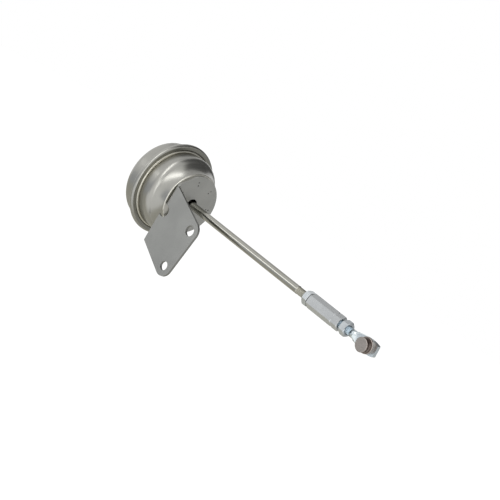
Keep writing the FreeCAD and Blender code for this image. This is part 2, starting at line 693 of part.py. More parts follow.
def make_bracket():
    """One folded sheet: a disc welded to the cover and a tab with two bolt holes."""
    body = new_body("bracket")
    bend_y = s.plate_thickness + s.bend_radius - tab_offset
    flank_z = root(plate_radius * plate_radius - s.flank_y * s.flank_y)
    chord_z = root(plate_radius * plate_radius - bend_y * bend_y)

    disc = new_sketch(body, "disc_outline", "YZ_Plane")
    rim = Part.ArcOfCircle(
        Part.Circle(FreeCAD.Vector(0, 0, 0), FreeCAD.Vector(0, 0, 1), plate_radius.value),
        math.atan2(-chord_z.value, bend_y.value),
        math.atan2(flank_z.value, -s.flank_y.value),
    )
    flank_start = FreeCAD.Vector(-s.flank_y.value, flank_z.value, 0)
    flank_end = FreeCAD.Vector(bend_y.value, s.flank_top.value, 0)
    chord_end = FreeCAD.Vector(bend_y.value, -chord_z.value, 0)
    sides = [
        disc.addGeometry(rim),
        disc.addGeometry(Part.LineSegment(flank_start, flank_end)),
        disc.addGeometry(Part.LineSegment(flank_end, chord_end)),
    ]
    for first, last, one, two in ((0, 1, 2, 1), (1, 2, 2, 1), (2, 0, 2, 1)):
        joint = Sketcher.Constraint("Coincident", sides[first], one, sides[last], two)
        disc.addConstraint(joint)
    disc.addConstraint(Sketcher.Constraint("Coincident", sides[0], 3, -1, 1))
    bind(disc, Sketcher.Constraint("Radius", sides[0], plate_radius.value), plate_radius)
    across = Sketcher.Constraint("DistanceX", -1, 1, sides[1], 1, -s.flank_y.value)
    bind(disc, across, -s.flank_y)
    pin_point(disc, sides[1], 2, bend_y, s.flank_top)
    across = Sketcher.Constraint("DistanceX", -1, 1, sides[2], 2, bend_y.value)
    bind(disc, across, bend_y)
    circle_at(disc, ZERO, ZERO, s.rod_radius + s.rod_hole_gap)
    sized(body, "Pad", "disc", disc, s.plate_thickness, Reversed=True)

    outer = s.bend_radius + s.plate_thickness
    strip_low = s.notch_radius - s.notch_z
    bend = new_sketch(body, "bend_section", "XY_Plane", strip_low)
    outline(bend, [
        (ZERO, bend_y, s.bend_radius, 1),
        (s.bend_radius, bend_y - s.bend_radius),
        (s.bend_radius, bend_y - outer, outer, -1),
        (-s.plate_thickness, bend_y),
    ])
    sized(body, "Pad", "bend", bend, s.flank_top - strip_low)

    slant = new_sketch(body, "bend_top", "YZ_Plane", -s.plate_thickness)
    outline(slant, [
        (bend_y, s.flank_top),
        (-tab_offset, s.tab_top),
        (-tab_offset - s.bend_radius, s.tab_top),
        (-tab_offset - s.bend_radius, s.flank_top + s.bend_radius),
        (bend_y, s.flank_top + s.bend_radius),
    ])
    sized(body, "Pocket", "bend_trim", slant, outer, Reversed=True)

    tab = new_sketch(body, "tab_outline", "XZ_Plane", tab_offset - s.plate_thickness)
    tab_outline(tab)
    for across, down, radius in (
        (s.upper_hole_x, s.upper_hole_z, s.upper_hole_radius),
        (s.lower_hole_x, s.lower_hole_z, s.lower_hole_radius),
    ):
        circle_at(tab, across, -down, radius)
    sized(body, "Pad", "tab", tab, s.plate_thickness)

    notch = new_sketch(body, "notch_in_tab", "XZ_Plane", tab_offset)
    circle_at(notch, s.notch_x, -s.notch_z, s.notch_radius)
    sized(body, "Pocket", "tab_notch", notch, s.plate_thickness + s.bend_radius)

    notch = new_sketch(body, "notch_in_disc", "YZ_Plane")
    circle_at(notch, s.notch_x + s.plate_thickness - tab_offset, -s.notch_z, s.notch_radius)
    sized(body, "Pocket", "disc_notch", notch, s.plate_thickness)

    welds = new_sketch(body, "weld_pair", "YZ_Plane")
    half = s.weld_pitch / 2.0
    for ring_radius in (weld_ring + half, weld_ring - half):
        circle_at(welds, *turned_by(ring_radius, s.weld_turn), s.weld_radius)
    pair = sized(body, "Pocket", "weld_dimples", welds, s.weld_depth)
    ring = body.newObject("PartDesign::PolarPattern", "weld_ring_pattern")
    ring.Originals = [pair]
    ring.Axis = (origin_item(body, "X_Axis"), [""])
    ring.Angle = 360.0
    ring.Occurrences = WELD_PAIRS
    body.Tip = ring
    placed(body, plate_front)
    doc.recompute()
    return body


def hexagon(sketch):
    """Hexagon with two flats facing the sketch's horizontal axis, and a round bore."""
    flat = s.hex_flats / 2.0
    corner = flat / HEX_SLOPE
    outline(sketch, [
        (flat, -corner / 2.0),
        (flat, corner / 2.0),
        (ZERO, corner),
        (-flat, corner / 2.0),
        (-flat, -corner / 2.0),
        (ZERO, -corner),
    ])
    circle_at(sketch, ZERO, ZERO, s.thread_radius + s.thread_gap)


def make_hex(name, along, length, roll, mark=None):
    """A nut or the sleeve: hexagon bar, both ends turned to a cone, bore countersunk."""
    body = new_body(name)
    section = new_sketch(body, name + "_hexagon", "YZ_Plane")
    hexagon(section)
    sized(body, "Pad", name + "_bar", section, length)
    flat = s.hex_flats / 2.0
    corner = flat / HEX_SLOPE
    land = flat - s.cone_land
    over = corner + CUT_ROOM
    depth = (over - land) * CONE_SLOPE
    sink = s.thread_radius + s.thread_gap
    ends = {
        "rear_cone": [(ZERO, land), (ZERO, over), (depth, over)],
        "front_cone": [(length, land), (length - depth, over), (length, over)],
        "rear_sink": [(ZERO, sink), (ZERO, sink + s.bore_sink), (s.bore_sink, sink)],
        "front_sink": [(length, sink), (length - s.bore_sink, sink), (length, sink + s.bore_sink)],
    }
    for end, corners in ends.items():
        turned(body, name + "_" + end, corners, kind="Groove")
    if mark is not None:
        bottom = corner - s.mark_depth
        half = s.mark_width / 2.0 * (over - bottom) / s.mark_depth
        mark_x = length - mark
        turned(body, name + "_mark", [
            (mark_x, bottom),
            (mark_x - half, over),
            (mark_x + half, over),
        ], kind="Groove")
    placed(body, along, roll)
    doc.recompute()
    return body


def make_rod_end():
    """Threaded shank, round neck and flattened eye with a squared tip."""
    body = new_body("rod_end")
    neck_end = -s.eye_reach
    neck_start = neck_end - s.neck_length
    nut_rear = neck_start - s.shank_show - s.nut_thickness
    shank_end = nut_rear - s.adjust_gap - s.shank_in_sleeve
    turned(body, "shank", [
        (shank_end, ZERO),
        (shank_end, s.thread_radius - s.thread_chamfer),
        (shank_end + s.thread_chamfer, s.thread_radius),
        (neck_start, s.thread_radius),
        (neck_start, s.neck_radius),
        (neck_end, s.neck_radius),
        (neck_end, ZERO),
    ])
    flat_start = neck_end + s.blend_length
    half = s.eye_thickness / 2.0
    wide = s.forged_half_width
    circle = new_sketch(body, "neck_circle", "YZ_Plane", neck_end)
    circle_at(circle, ZERO, ZERO, s.neck_radius)
    oval = new_sketch(body, "flat_oval", "YZ_Plane", flat_start)
    major = FreeCAD.Vector(0, wide.value, 0)
    minor = FreeCAD.Vector(half.value, 0, 0)
    ellipse = oval.addGeometry(Part.Ellipse(major, minor, FreeCAD.Vector(0, 0, 0)))
    oval.exposeInternalGeometry(ellipse)
    oval.addConstraint(Sketcher.Constraint("Coincident", ellipse, 3, -1, 1))
    bind(oval, Sketcher.Constraint("DistanceY", -1, 1, ellipse + 1, 1, wide.value), wide)
    across = Sketcher.Constraint("DistanceX", -1, 1, ellipse + 1, 1, 0.0)
    oval.addConstraint(across)
    bind(oval, Sketcher.Constraint("Distance", ellipse + 2, s.eye_thickness.value), s.eye_thickness)
    blend = body.newObject("PartDesign::AdditiveLoft", "forged_blend")
    blend.Profile = circle
    blend.Sections = [oval]
    body.Tip = blend
    doc.recompute()

    plate = new_sketch(body, "eye_outline", "XZ_Plane", -half)
    plate_x = flat_start - half
    outline(plate, [
        (plate_x, -s.eye_root_half),
        (-s.side_start, -s.eye_half_width, s.eye_side_radius, 1),
        (s.tip_reach, -s.tip_half_width),
        (s.tip_reach, s.tip_half_width, s.eye_side_radius, 1),
        (-s.side_start, s.eye_half_width),
        (plate_x, s.eye_root_half),
    ])
    circle_at(plate, ZERO, ZERO, s.stub_radius + s.stub_gap)
    eye = sized(body, "Pad", "eye", plate, s.eye_thickness)
    tip_edges = [
        "Edge%d" % (index + 1)
        for index, edge in enumerate(eye.Shape.Edges)
        if edge.CenterOfMass.x > s.tip_reach.value - NEAR
        and abs(edge.BoundBox.YLength - s.eye_thickness.value) < NEAR
        and edge.BoundBox.ZLength < NEAR
    ]
    soft = body.newObject("PartDesign::Fillet", "eye_corners")
    soft.Base = (eye, tip_edges)
    soft.Radius = s.tip_corner.value
    soft.setExpression("Radius", s.tip_corner.text)
    body.Tip = soft
    placed(body, eye_x, s.eye_roll)
    doc.recompute()
    return body


def make_pivot_pin():
    """Turned pin with collar and clip groove, riveted through the eye."""
    body = new_body("pivot_pin")
    half = s.eye_thickness / 2.0
    collar = half + s.collar_height
    barrel = collar + s.pin_barrel
    groove = barrel + s.clip_groove
    face = groove + s.pin_end
    head = half + s.stub_head_height
    dome = s.stub_head_height * DOME_SHARE
    dome_radius = (s.stub_head_radius * s.stub_head_radius + dome * dome) / (2.0 * dome)
    soft = s.pin_chamfer
    turned(body, "pin", [
        (ZERO, -face),
        (s.pin_radius - soft, -face),
        (s.pin_radius, -face + soft),
        (s.pin_radius, -groove),
        (s.clip_groove_radius, -groove),
        (s.clip_groove_radius, -barrel),
        (s.pin_radius, -barrel),
        (s.pin_radius, -collar),
        (s.collar_radius - soft, -collar),
        (s.collar_radius, -collar + soft),
        (s.collar_radius, -half),
        (s.stub_radius, -half),
        (s.stub_radius, half),
        (s.stub_head_radius, half),
        (s.stub_head_radius, head - dome, dome_radius, 1),
        (ZERO, head),
    ], about="V_Axis")
    placed(body, eye_x, s.eye_roll)
    doc.recompute()
    return body


parts = [
    make_rear_can(),
    make_front_cover(),
    make_pressure_port(),
    make_diaphragm(),
    make_piston_cup(),
    make_retainer_plate(),
    make_rod_washer(),
    make_rod(),
    make_return_spring(),
    make_spring_seat(),
    make_bracket(),
    make_hex("rear_jam_nut", rear_nut_x, s.nut_thickness, s.rear_nut_roll),
    make_hex("adjuster_sleeve", sleeve_x, s.sleeve_length, s.sleeve_roll, s.mark_offset),
    make_hex("front_jam_nut", front_nut_x, s.nut_thickness, s.front_nut_roll),
    make_rod_end(),
    make_pivot_pin(),
]

doc.recompute()
for item in doc.Objects:
    if "Invalid" in item.State or "Error" in item.State:
        raise RuntimeError("%s is %s" % (item.Label, item.State))

os.makedirs("parts", exist_ok=True)
for part in parts:
    shape = part.Shape
    if shape.isNull() or not shape.isValid():
        raise RuntimeError("%s has no valid shape" % part.Label)
    box = shape.BoundBox
    print("%-16s solids %d volume %9.1f  x %.2f to %.2f  y %.2f to %.2f  z %.2f to %.2f" % (
        part.Label, len(shape.Solids), shape.Volume,
        box.XMin, box.XMax, box.YMin, box.YMax, box.ZMin, box.ZMax,
    ))
    shape.exportStep("parts/%s.step" % part.Label)
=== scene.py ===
# %% [markdown]
# A wastegate actuator: a crimped steel canister on a folded bracket pushes a long rod, and a
# turnbuckle at the rod's end sets its length. The lesson dresses the finished solids: each
# surface gets a metal of its own, the cover is turned anew in finer steps, the two threads are
# cut, and a studio lights them. The solids are loaded first, as a frame that nothing moves.

import math

import bmesh
import bpy
from mathutils import Euler, Matrix, Vector


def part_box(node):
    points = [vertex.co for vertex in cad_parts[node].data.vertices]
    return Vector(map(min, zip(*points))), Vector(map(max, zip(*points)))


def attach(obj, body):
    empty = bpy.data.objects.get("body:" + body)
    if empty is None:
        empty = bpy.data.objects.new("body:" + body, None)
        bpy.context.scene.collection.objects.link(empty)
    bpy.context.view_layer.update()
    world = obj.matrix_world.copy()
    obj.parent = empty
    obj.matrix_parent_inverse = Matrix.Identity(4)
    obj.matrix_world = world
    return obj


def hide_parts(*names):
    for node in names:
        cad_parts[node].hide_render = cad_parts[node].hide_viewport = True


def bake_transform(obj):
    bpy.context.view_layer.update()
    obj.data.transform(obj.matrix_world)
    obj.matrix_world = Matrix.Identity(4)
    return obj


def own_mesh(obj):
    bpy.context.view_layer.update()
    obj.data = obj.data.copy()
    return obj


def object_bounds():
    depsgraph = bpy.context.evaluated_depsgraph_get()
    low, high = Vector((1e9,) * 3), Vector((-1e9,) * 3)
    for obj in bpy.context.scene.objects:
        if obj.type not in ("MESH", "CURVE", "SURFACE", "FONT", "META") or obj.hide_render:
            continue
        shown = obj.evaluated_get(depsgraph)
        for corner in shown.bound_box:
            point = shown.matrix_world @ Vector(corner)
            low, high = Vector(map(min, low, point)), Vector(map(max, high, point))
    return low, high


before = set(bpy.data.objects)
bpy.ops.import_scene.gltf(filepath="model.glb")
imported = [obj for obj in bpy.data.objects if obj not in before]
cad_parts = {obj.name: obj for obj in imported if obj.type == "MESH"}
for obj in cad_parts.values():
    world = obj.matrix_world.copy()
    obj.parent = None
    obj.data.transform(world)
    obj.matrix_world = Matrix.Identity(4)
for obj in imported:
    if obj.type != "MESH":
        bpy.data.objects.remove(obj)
MM = 0.001
cad_box = [list(corner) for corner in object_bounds()]

# %% [markdown]
# The camera comes first, because every later choice is judged through it. It could be placed by
# eye. Its place was worked out instead, from edges whose sizes are known, so the model falls on
# the photograph's lines. It looks from the rod's side, a little from above, and it is rolled.

# %% Camera
IMAGE_WIDTH = 500
FOCAL_PIXELS = 1209.7
SENSOR = 36.0
NEAREST_SEEN = 0.05
CAMERA_PLACE = Vector((657.6, -643.4, 122.9)) * MM
CAMERA_AZIMUTH = 40.13
CAMERA_ELEVATION = 8.25
CAMERA_ROLL = 31.61


def add_object(name, data):
    """A new object in the scene, for a camera, a lamp or a mesh."""
    thing = bpy.data.objects.new(name, data)
    bpy.context.scene.collection.objects.link(thing)
    return thing


def add_camera():
    """A camera turned by azimuth, elevation and roll, in degrees."""
    data = bpy.data.cameras.new("camera")
    data.sensor_width = SENSOR
    data.lens = SENSOR * FOCAL_PIXELS / IMAGE_WIDTH
    data.clip_start = NEAREST_SEEN
    camera = add_object("camera", data)
    turn = Matrix.Rotation(math.radians(CAMERA_AZIMUTH), 4, "Z")
    tilt = Matrix.Rotation(math.radians(90 - CAMERA_ELEVATION), 4, "X")
    roll = Matrix.Rotation(math.radians(CAMERA_ROLL), 4, "Z")
    camera.matrix_world = Matrix.Translation(CAMERA_PLACE) @ turn @ tilt @ roll
    return camera


bpy.context.scene.camera = add_camera()
print("camera lens", round(bpy.context.scene.camera.data.lens, 1), "mm")

# %% [markdown]
# Metal shows its surroundings more than itself, so the studio matters as much as the colour.
# The room could be a box of white walls. A world is simpler: it is white to the eye and in
# reflections, and dimmer as a light, so that pale metal doesn't wash out and the floor keeps
# the object's shadow. The white floor glows in the same way, for the eye and for reflections
# alone, which makes it as white as the room and throws no light up at the object.

# %% White room
ROOM_LIGHT = 0.55
FLOOR_SIZE = 6.0
FLOOR_DROP = 0.30
FLOOR_HEIGHT = cad_box[0][2] - FLOOR_DROP
FLOOR_GREY, FLOOR_GLOW = 0.8, 0.62
PLAIN = (1.0, 1.0, 1.0)


def seen_level(nodes, links, as_light, when_seen):
    """One level for the eye and for reflections, and another for the light that falls."""
    path = nodes.new("ShaderNodeLightPath")
    seen = path.outputs["Is Camera Ray"]
    for ray in ("Is Glossy Ray", "Is Transmission Ray"):
        either = nodes.new("ShaderNodeMath")
        either.operation = "MAXIMUM"
        links.new(seen, either.inputs[0])
        links.new(path.outputs[ray], either.inputs[1])
        seen = either.outputs[0]
    level = nodes.new("ShaderNodeMapRange")
    level.inputs["To Min"].default_value = as_light
    level.inputs["To Max"].default_value = when_seen
    links.new(seen, level.inputs["Value"])
    return level.outputs["Result"]


def add_world():
    """White for the eye and for reflections, and dimmer as a light."""
    world = bpy.data.worlds.new("studio")
    world.use_nodes = True
    nodes, links = world.node_tree.nodes, world.node_tree.links
    nodes.clear()
    shade = nodes.new("ShaderNodeBackground")
    shade.inputs["Color"].default_value = (*PLAIN, 1.0)
    links.new(seen_level(nodes, links, ROOM_LIGHT, 1.0), shade.inputs["Strength"])
    output = nodes.new("ShaderNodeOutputWorld")
    links.new(shade.outputs[0], output.inputs["Surface"])
    bpy.context.scene.world = world


def plane_mesh(name, width, height):
    """A flat rectangle in its own XY plane, facing +Z."""
    mesh = bpy.data.meshes.new(name)
    x, y = width / 2, height / 2
    mesh.from_pydata([(-x, -y, 0), (x, -y, 0), (x, y, 0), (-x, y, 0)], [], [(0, 1, 2, 3)])
    return mesh


def glowing_matt(name, grey, glow, tint):
    """A matt material that also glows by itself, which keeps its level even."""
    material = bpy.data.materials.new(name)
    material.use_nodes = True
    nodes, links = material.node_tree.nodes, material.node_tree.links
    nodes.clear()
    matt = nodes.new("ShaderNodeBsdfDiffuse")
    matt.inputs["Color"].default_value = (grey, grey, grey, 1.0)
    light = nodes.new("ShaderNodeEmission")
    light.inputs["Color"].default_value = (*tint, 1.0)
    light.inputs["Strength"].default_value = glow
    both = nodes.new("ShaderNodeAddShader")
    links.new(matt.outputs[0], both.inputs[0])
    links.new(light.outputs[0], both.inputs[1])
    output = nodes.new("ShaderNodeOutputMaterial")
    links.new(both.outputs[0], output.inputs["Surface"])
    return material


def add_floor():
    """A plain white floor, well below a part that hangs from its own bolt hole. Its glow is for
    the eye and for reflections, and lights nothing."""
    floor = add_object("floor", plane_mesh("floor", FLOOR_SIZE, FLOOR_SIZE))
    paint = glowing_matt("floor_white", FLOOR_GREY, FLOOR_GLOW, PLAIN)
    nodes, links = paint.node_tree.nodes, paint.node_tree.links
    links.new(seen_level(nodes, links, 0.0, FLOOR_GLOW), nodes["Emission"].inputs["Strength"])
    paint.cycles.emission_sampling = "NONE"
    floor.data.materials.append(paint)
    floor.location.z = FLOOR_HEIGHT


add_world()
add_floor()
view = bpy.context.scene.view_settings
view.view_transform = "Standard"
print("floor at", round(FLOOR_HEIGHT / MM), "mm")

# %% [markdown]
# Round steel draws a lamp out into a line. A large soft lamp would make the line broad and pale,
# so the lamps are strips, which give the cover's shoulder and neck their narrow bright streaks.
# A lamp is placed by its angle from the camera's line of sight and by its way round it, because
# that decides where its reflection lies. It lights the metal but isn't seen itself.

# %% Strip lights
OBJECT_MIDDLE = Vector((100, 0, 0)) * MM
CAMERA_TURN = bpy.context.scene.camera.matrix_world.to_3x3()
STRIP_DISTANCE = 1.2
# Each strip: name, way round, angle off the line of sight, half length, half width, power.
STRIPS = (
    ("key", 82, 38, 30, 7, 3.4),
    ("low_strip", 304, 42, 33, 6, 2.2),
    ("rod_strip", 135, 78, 5, 4, 0.26),
)


def seen_from_camera(right, up, back):
    """A direction given as the camera's right, up and back."""
    return (CAMERA_TURN @ Vector((right, up, back))).normalized()


def round_camera(azimuth, angle):
    """A direction by its angle from the camera's line of sight, and the way round it: the
    camera's right is 0 and its up is 90 degrees. The second result points round the circle."""
    azimuth, angle = math.radians(azimuth), math.radians(angle)
    reach = math.sin(angle)
    direction = seen_from_camera(
        reach * math.cos(azimuth), reach * math.sin(azimuth), math.cos(angle)
    )
    return direction, seen_from_camera(-math.sin(azimuth), math.cos(azimuth), 0.0)


def span(distance, half_angle):
    """The size that fills twice an angle at a distance."""
    return 2 * distance * math.tan(math.radians(half_angle))


def facing(place, target, along):
    """The turn that points -Z from a place to a target, with X as near as can be to along."""
    back = (place - target).normalized()
    up = back.cross(along).normalized()
    return Matrix((up.cross(back), up, back)).transposed().to_quaternion()


def aim(thing, direction, distance, along):
    """Puts a thing at a distance from the object, facing it."""
    thing.location = OBJECT_MIDDLE + direction * distance
    thing.rotation_mode = "QUATERNION"
    thing.rotation_quaternion = facing(thing.location, OBJECT_MIDDLE, along)


def add_strip(name, azimuth, angle, half_out, half_round, power):
    """A strip light whose length runs outwards from the line of sight."""
    direction, tangent = round_camera(azimuth, angle)
    light = bpy.data.lights.new(name, "AREA")
    light.shape = "RECTANGLE"
    light.size = span(STRIP_DISTANCE, half_round)
    light.size_y = span(STRIP_DISTANCE, half_out)
    light.energy = power
    lamp = add_object(name, light)
    aim(lamp, direction, STRIP_DISTANCE, tangent)
    lamp.visible_camera = False


for strip in STRIPS:
    add_strip(*strip)
print("lit by", len(STRIPS), "strips")

# %% [markdown]
# In an all-white room steel looks like paper, so a photographer stands black flags round it.
# These grey cards do the same: the metal reflects them as its soft dark bands. Only reflections
# see them, so they take no light away. One lies on the floor, from just in front of the object
# to far behind it, and gives the lower surfaces their olive tone.

# %% Flags
COOL = (0.96, 0.99, 1.04)
OLIVE = (1.02, 1.0, 0.90)
CARD_LIFT = 5 * MM
# Each card: name, way round, angle off the line of sight, half width, half height, distance,
# level and tint.
CARDS = (
    ("flag_right", 31, 106, 37, 41, 1.25, 0.13, PLAIN),
    ("flag_top_right", 72, 114, 15, 32, 1.25, 0.68, PLAIN),
    ("flag_low_right", 320, 114, 25, 28, 0.9, 0.52, PLAIN),
    ("flag_left", 176, 76, 22, 34, 0.7, 0.66, COOL),
)


def show_in_reflections(card, level, tint):
    """Paints a card and hides it from all but the metal."""
    card.data.materials.append(glowing_matt(card.name + "_paint", 0.0, level, tint))
    card.visible_camera = False
    card.visible_diffuse = False
    card.visible_shadow = False


def add_card(name, azimuth, angle, half_round, half_out, distance, level, tint):
    """A card that stands round the object."""
    direction, tangent = round_camera(azimuth, angle)
    width, height = span(distance, half_round), span(distance, half_out)
    card = add_object(name, plane_mesh(name, width, height))
    aim(card, direction, distance, tangent)
    show_in_reflections(card, level, tint)


def add_floor_card(size, reach, level, tint):
    """A card that lies on the floor, from just in front of the object to far behind it."""
    card = add_object("flag_floor", plane_mesh("flag_floor", size, size))
    behind = seen_from_camera(0.0, 0.0, -1.0)
    behind = Vector((behind.x, behind.y, 0.0)).normalized()
    card.location = OBJECT_MIDDLE + behind * (size / 2 - reach)
    card.location.z = FLOOR_HEIGHT + CARD_LIFT
    card.rotation_euler.z = math.atan2(behind.y, behind.x)
    show_in_reflections(card, level, tint)


for card in CARDS:
    add_card(*card)
add_floor_card(size=2.4, reach=0.12, level=0.64, tint=OLIVE)
print("flags:", len(CARDS), "standing and one on the floor")

# %% [markdown]
# A finish could be wired by hand in the shader editor, but it is easier to read as arithmetic.
# One small class wraps a socket, so that `1 - mask * 2` adds the Math nodes itself.

# %% Sums of sockets


class Value:
    """A shader socket that takes part in sums."""

    def __init__(self, shader, socket):
        self.shader = shader
        self.socket = socket

    def _math(self, operation, *others):
        return self.shader.node("ShaderNodeMath", {"operation": operation}, self, *others)

    def __add__(self, other):
        return self._math("ADD", other)

    __radd__ = __add__

    def __sub__(self, other):
        return self._math("SUBTRACT", other)

    def __rsub__(self, other):
        return self.shader.node("ShaderNodeMath", {"operation": "SUBTRACT"}, other, self)

    def __mul__(self, other):
        return self._math("MULTIPLY", other)

    __rmul__ = __mul__

    def __truediv__(self, other):
        return self._math("DIVIDE", other)

    def abs(self):
        return self._math("ABSOLUTE")

    def sqrt(self):
        return self._math("SQRT")

    def wave(self):
        return self._math("SINE")

    def over(self, limit):
        return self._math("GREATER_THAN", limit)

    def under(self, limit):
        return self._math("LESS_THAN", limit)

    def smooth(self, low, high):
        """0 below low, 1 above high, and a soft step between."""
        settings = {"interpolation_type": "SMOOTHSTEP"}
        return self.shader.node("ShaderNodeMapRange", settings, self, low, high, 0.0, 1.0)


# %% [markdown]
# Every finish here is one principled shader. A second class holds it with its tree, gives the
# place on the object in metres, and adds any other node. Patterns follow that place, so they
# need no unwrapping and have the same scale on every piece.

# %% Finishes
# A Mix node has a set of sockets for each type. These are the factor and the colours.
MIX_FACTOR, MIX_FIRST, MIX_SECOND, MIX_RESULT = 0, 6, 7, 2


class Finish:
    """A principled material, built by sums."""

    def __init__(self, name):
        self.material = bpy.data.materials.new(name)
        self.material.use_nodes = True
        tree = self.material.node_tree
        tree.nodes.clear()
        self.nodes, self.links = tree.nodes, tree.links
        self.surface = self.nodes.new("ShaderNodeBsdfPrincipled")
        output = self.nodes.new("ShaderNodeOutputMaterial")
        self.links.new(self.surface.outputs[0], output.inputs["Surface"])
        self.place = Value(self, self.nodes.new("ShaderNodeTexCoord").outputs["Object"])
        parts = self.node("ShaderNodeSeparateXYZ", {}, self.place, every=True)
        self.x, self.y, self.z = parts

    def connect(self, source, target):
        """Links a value to the target socket, or sets a constant on it."""
        if isinstance(source, Value):
            self.links.new(source.socket, target)
        elif target.type == "RGBA":
            target.default_value = (*source, 1.0)[:4]
        else:
            target.default_value = source

    def node(self, kind, settings, *values, every=False, output=0, **named):
        """Any node: settings first, then its sockets in order or by name."""
        new = self.nodes.new(kind)
        for key, value in settings.items():
            setattr(new, key, value)
        for socket, value in zip(new.inputs, values):
            self.connect(value, socket)
        for key, value in named.items():
            self.connect(value, new.inputs[key])
        if every:
            return [Value(self, socket) for socket in new.outputs]
        return Value(self, new.outputs[output])

    def vector(self, x, y, z):
        return self.node("ShaderNodeCombineXYZ", {}, x, y, z)

    def noise(self, vector, scale, detail=2.0, roughness=0.5, w=None):
        """Noise by place. With w it is cut from a fourth direction too."""
        settings = {"noise_dimensions": "3D" if w is None else "4D"}
        named = {"Vector": vector, "Scale": scale, "Detail": detail, "Roughness": roughness}
        if w is not None:
            named["W"] = w
        return self.node("ShaderNodeTexNoise", settings, **named)

    def mix(self, factor, first, second):
        """From the first colour to the second."""
        new = self.nodes.new("ShaderNodeMix")
        new.data_type = "RGBA"
        self.connect(factor, new.inputs[MIX_FACTOR])
        self.connect(first, new.inputs[MIX_FIRST])
        self.connect(second, new.inputs[MIX_SECOND])
        return Value(self, new.outputs[MIX_RESULT])

    def bump(self, height, distance, strength):
        """Relief from a height; the distance for a height of 1 is in millimetres."""
        new = self.nodes.new("ShaderNodeBump")
        new.inputs["Strength"].default_value = strength
        new.inputs["Distance"].default_value = distance * MM
        self.connect(height, new.inputs["Height"])
        return Value(self, new.outputs[0])

    def normal(self):
        """The face's own direction, as its three parts."""
        geometry = self.nodes.new("ShaderNodeNewGeometry")
        direction = Value(self, geometry.outputs["True Normal"])
        return self.node("ShaderNodeSeparateXYZ", {}, direction, every=True)

    def finish(self, color, roughness, normal, metallic=1.0):
        """Sets the principled shader's sockets."""
        self.connect(color, self.surface.inputs["Base Color"])
        self.connect(roughness, self.surface.inputs["Roughness"])
        self.connect(metallic, self.surface.inputs["Metallic"])
        self.connect(normal, self.surface.inputs["Normal"])
        return self.material


# %% [markdown]
# A finish goes onto a solid through its material slots, which leaves the solid's mesh as it was
# loaded. The steps below make the finishes one by one, and put each on at once.

# %% Dressing


def dress(material, *nodes):
    """Puts a material in every slot of the named nodes."""
    for name in nodes:
        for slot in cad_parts[name].material_slots:
            slot.material = material
    print(material.name, "is on", ", ".join(nodes))


# %% [markdown]
# The canister is drawn from coil and plated, so it is satin: fine rings from the drawing tool
# run round it, and a faint cloudiness lies over them. The rings are noise that hardly changes
# round the axis and changes fast along it, so no seam shows. Three zones get tones of their own,
# by their place along the axis and by their radius. The wall's root is painted light, a painted
# highlight where the wall meets the flange. The flange beside it is painted darker. The neck's
# end is painted light, a painted highlight along its edge.

# %% Drawn steel
NEVER_ZERO = 1e-6
RING_SCALE, RING_DRIFT = 900.0, 0.6
ROOT_HIGHLIGHT_FROM = 18.0 * MM
ROOT_HIGHLIGHT_FADE = (21.5 * MM, 25.5 * MM)
ROOT_HIGHLIGHT_EDGE = (32.9 * MM, 33.1 * MM)
LIP_FROM = 19.0 * MM
LIP_INSIDE = 33.1 * MM
LIP_FADE = (35.6 * MM, 36.5 * MM)
NECK_END_HIGHLIGHT_FROM = 41.5 * MM


def round_axis(f):
    """Radius and direction about the X axis, for patterns that turn with a lathe or a press."""
    radius = (f.y * f.y + f.z * f.z).sqrt()
    return radius, f.y / (radius + NEVER_ZERO), f.z / (radius + NEVER_ZERO)


def drawn_steel():
    """Satin sheet with faint drawing rings, painted highlights at the root and the neck's end.
    """
    f = Finish("drawn_steel")
    radius, across, up = round_axis(f)
    unrolled = f.vector(f.x * RING_SCALE, radius * RING_SCALE, across * RING_DRIFT)
    rings = f.noise(unrolled, 1.0, 3.0, 0.6, w=up * RING_DRIFT)
    cloud = f.noise(f.place, 38.0, 3.0, 0.55)
    grain = f.noise(f.place, 2600.0, 1.0)
    root = (1 - f.x.smooth(*ROOT_HIGHLIGHT_FADE)) * (1 - radius.smooth(*ROOT_HIGHLIGHT_EDGE)) * f.x.over(ROOT_HIGHLIGHT_FROM)
    lip = f.x.over(LIP_FROM) * radius.over(LIP_INSIDE) * (1 - radius.smooth(*LIP_FADE))
    tone = f.mix(cloud.smooth(0.3, 0.7), (0.342, 0.34, 0.318), (0.375, 0.372, 0.345))
    tone = f.mix(rings.smooth(0.45, 0.85) * 0.25, tone, (0.28, 0.278, 0.258))
    # The wall's root is painted light: a painted highlight where the wall meets the flange.
    tone = f.mix(root, tone, (0.50, 0.487, 0.43))
    # The lip and the flange beside it are painted darker.
    tone = f.mix(lip * 0.8, tone, (0.24, 0.237, 0.205))
    # The neck's end is painted light: a painted highlight along its edge.
    tone = f.mix(f.x.over(NECK_END_HIGHLIGHT_FROM), tone, (0.56, 0.55, 0.50))
    rough = 0.24 + rings * 0.06 + cloud * 0.04
    relief = f.bump(rings + grain * 0.4, 0.004, 0.4)
    return f.finish(tone, rough, relief)


STEEL = drawn_steel()
dress(STEEL, "rear_can")

# %% [markdown]
# The bracket is sheared from flat sheet and folded, so its faces have an even, finely speckled
# grey, and its cut edges are darker. A second material on the edge faces would do, but the solid
# has one slot. The mask is the face's own direction: an edge is a face that looks neither along
# the disc's axis nor, on the tab, out of the tab. The weld dimples are faces that look forward
# from just behind the disc's front, and they are painted nearly black as painted shade.

# %% Sheared sheet
TAB_DEPTH = 2.1 * MM
EDGE_FACING = 0.33
DISC_FRONT = 44.2 * MM
DIMPLE_DEPTH = 0.15 * MM


